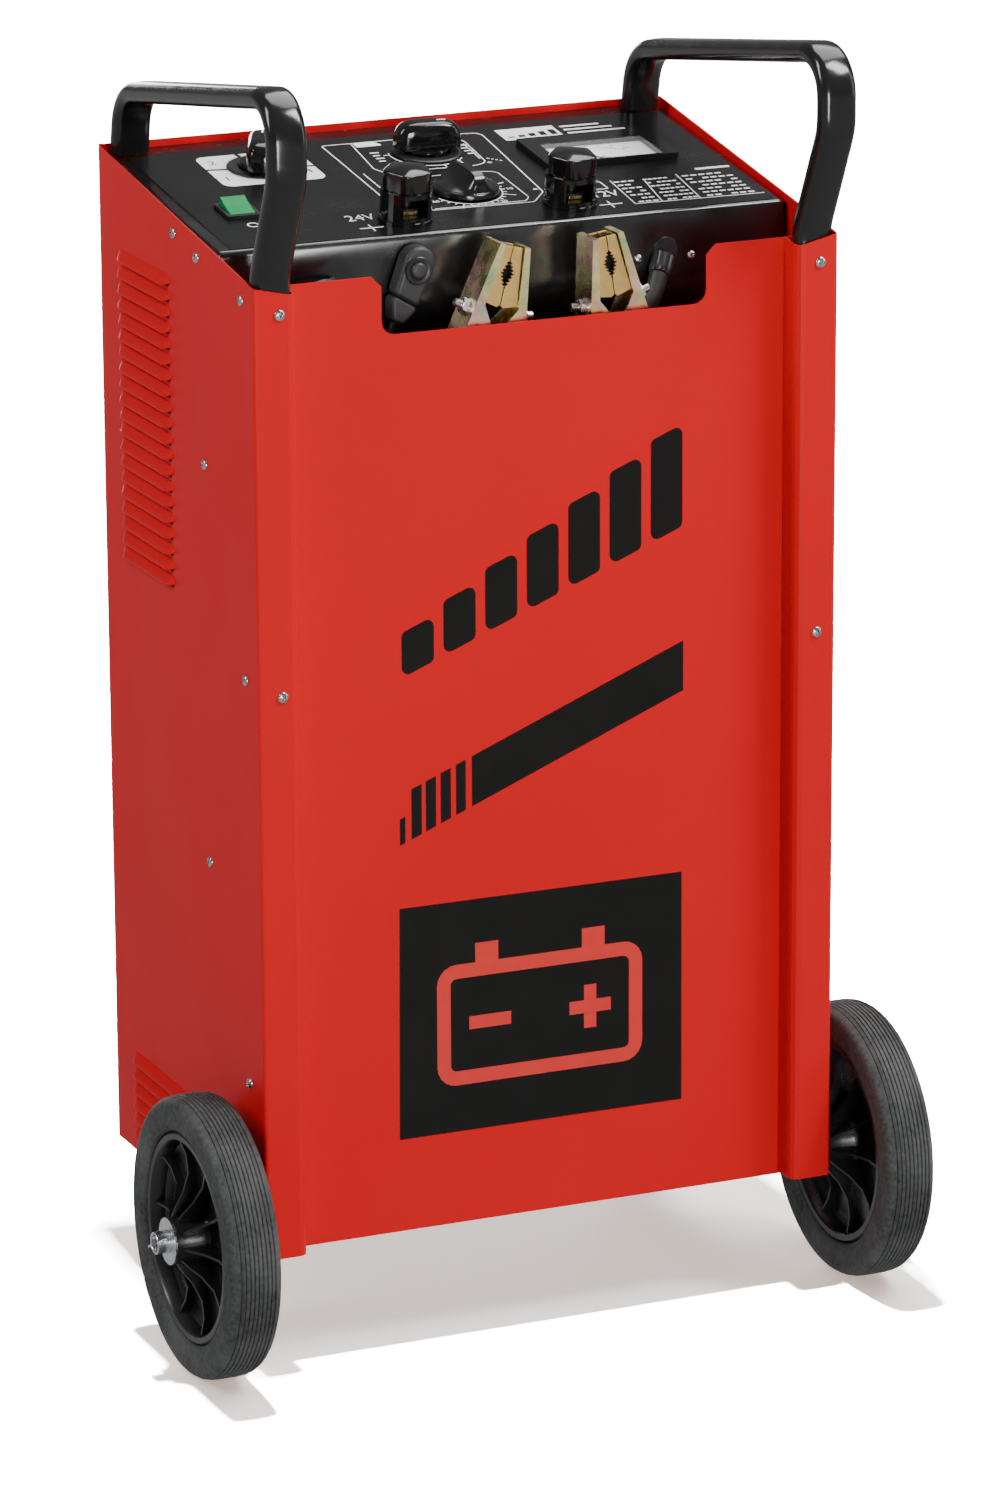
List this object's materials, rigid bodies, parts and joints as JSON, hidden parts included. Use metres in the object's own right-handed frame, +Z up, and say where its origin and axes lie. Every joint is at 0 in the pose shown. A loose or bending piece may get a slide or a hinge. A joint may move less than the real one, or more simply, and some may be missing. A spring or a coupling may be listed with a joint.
{
  "type": "wheeled car battery charger",
  "caption": "Sheet-steel battery charger and engine starter on trolley wheels: sloping control console, loop handles, and a front bin holding clamp cables and a push-button lead.",
  "frame": {"origin": "on the floor under the middle of the whole machine, wheels and rear feet standing on it", "axes": "+Z up, control side and cable bin towards -Y, +X to the right for a person facing that side"},
  "size_m": [0.722, 0.4786, 1.1367],
  "materials": {
    "red_paint": "gloss stove enamel with a slight orange peel",
    "black_paint": "smooth black enamel",
    "satin_plastic": "satin moulded plastic",
    "gloss_plastic": "polished black moulding",
    "pendant_plastic": "matt grey-black moulding",
    "green_plastic": "translucent green rocker",
    "clear_plastic": "clear flat window",
    "tyre_rubber": "dull solid rubber",
    "cable_rubber": "semi-matt cable sheath",
    "zinc_steel": "bright zinc plate",
    "yellow_zinc": "yellow-chromated zinc plate",
    "brass": "plain machined brass",
    "core_steel": "varnished steel laminations",
    "winding": "enamelled winding under brown varnish",
    "aluminium": "plain extrusion"
  },
  "bodies": {
    "cabinet": {"side_panel_left": "red_paint", "side_panel_right": "red_paint", "back_panel": "red_paint", "front_panel": "red_paint", "mains_gland": "satin_plastic", "chassis_base": "black_paint", "console_panel": "black_paint", "cable_bin": "black_paint", "handle_left": "satin_plastic", "handle_right": "satin_plastic", "cable_grommet": "cable_rubber", "axle": "zinc_steel", "axle_washer_left": "zinc_steel", "axle_washer_right": "zinc_steel", "rear_leg_left": "black_paint", "rear_leg_right": "black_paint", "rear_foot_left": "tyre_rubber", "rear_foot_right": "tyre_rubber", "rocker_bezel": "satin_plastic", "charge_selector_switch": "gloss_plastic", "boost_selector_switch": "gloss_plastic", "timer_body": "satin_plastic", "terminal_base_24": "gloss_plastic", "terminal_base_12": "gloss_plastic", "terminal_stud_24": "brass", "terminal_stud_12": "brass", "ammeter_case": "satin_plastic", "ammeter_lens": "clear_plastic", "pendant_body": "pendant_plastic", "negative_cable": "cable_rubber", "positive_cable": "cable_rubber", "pendant_cable": "cable_rubber", "positive_lug": "zinc_steel", "transformer_core": "core_steel", "winding_primary": "winding", "winding_secondary": "winding", "rectifier_heatsink": "aluminium", "start_contactor": "satin_plastic", "positive_clamp_jaw_fixed": "yellow_zinc", "positive_contact_fixed": "brass", "positive_clamp_pivot": "zinc_steel", "negative_clamp_jaw_fixed": "yellow_zinc", "negative_contact_fixed": "brass", "negative_clamp_pivot": "zinc_steel"},
    "wheel_left": {"tyre_left": "tyre_rubber", "wheel_hub_left": "satin_plastic"},
    "wheel_right": {"tyre_right": "tyre_rubber", "wheel_hub_right": "satin_plastic"},
    "rocker_key": {"rocker": "green_plastic"},
    "charge_selector": {"charge_selector_knob": "gloss_plastic"},
    "boost_selector": {"boost_selector_knob": "gloss_plastic"},
    "timer": {"timer_knob": "satin_plastic"},
    "screw_knob_24": {"terminal_knob_24": "gloss_plastic"},
    "screw_knob_12": {"terminal_knob_12": "gloss_plastic"},
    "needle": {"ammeter_needle": "satin_plastic"},
    "start_button": {"pendant_button": "gloss_plastic"},
    "positive_jaw": {"positive_clamp_jaw_moving": "yellow_zinc", "positive_contact_moving": "brass"},
    "negative_jaw": {"negative_clamp_jaw_moving": "yellow_zinc", "negative_contact_moving": "brass"}
  },
  "joints": [
    {"name": "wheel_left_spin", "type": "hinge", "parent": "cabinet", "child": "wheel_left", "pos_m": [-0.3127, -0.11425, 0.125], "axis": [1, 0, 0], "continuous": true},
    {"name": "wheel_right_spin", "type": "hinge", "parent": "cabinet", "child": "wheel_right", "pos_m": [0.3127, -0.11425, 0.125], "axis": [1, 0, 0], "continuous": true},
    {"name": "rocker_tilt", "type": "hinge", "parent": "cabinet", "child": "rocker_key", "pos_m": [-0.211, 0.03365, 0.99209], "axis": [1, 0, 0], "range_deg": [-14, 0]},
    {"name": "charge_selector_turn", "type": "hinge", "parent": "cabinet", "child": "charge_selector", "pos_m": [-0.149, 0.13475, 1.00775], "axis": [0, -0.1434, 0.9897], "range_deg": [-150, 150]},
    {"name": "boost_selector_turn", "type": "hinge", "parent": "cabinet", "child": "boost_selector", "pos_m": [0.0095, 0.13722, 1.00811], "axis": [0, -0.1434, 0.9897], "range_deg": [-150, 150]},
    {"name": "timer_turn", "type": "hinge", "parent": "cabinet", "child": "timer", "pos_m": [0.002, 0.03232, 0.99291], "axis": [0, -0.1434, 0.9897], "range_deg": [-270, 0]},
    {"name": "screw_knob_24_turn", "type": "hinge", "parent": "cabinet", "child": "screw_knob_24", "pos_m": [-0.0771, -0.01914, 0.98545], "axis": [0, -0.1434, 0.9897], "continuous": true},
    {"name": "screw_knob_12_turn", "type": "hinge", "parent": "cabinet", "child": "screw_knob_12", "pos_m": [0.0785, -0.01796, 0.98562], "axis": [0, -0.1434, 0.9897], "continuous": true},
    {"name": "needle_swing", "type": "hinge", "parent": "cabinet", "child": "needle", "pos_m": [0.159, 0.07537, 0.99914], "axis": [0, -0.1434, 0.9897], "range_deg": [-90, 0], "stiffness_Nm_per_rad": 0.0004},
    {"name": "start_button_push", "type": "slide", "parent": "cabinet", "child": "start_button", "axis": [0, 1, 0], "range_m": [0, 0.003], "stiffness_N_per_m": 400, "springref_m": -0.002},
    {"name": "positive_jaw_open", "type": "hinge", "parent": "cabinet", "child": "positive_jaw", "pos_m": [-0.0391, -0.10375, 0.8906], "axis": [0, 1, 0], "range_deg": [0, 22], "stiffness_Nm_per_rad": 1.2, "springref_deg": -8.59},
    {"name": "negative_jaw_open", "type": "hinge", "parent": "cabinet", "child": "negative_jaw", "pos_m": [0.0823, -0.10375, 0.8898], "axis": [0, 1, 0], "range_deg": [0, 22], "stiffness_Nm_per_rad": 1.2, "springref_deg": -8.59}
  ]
}
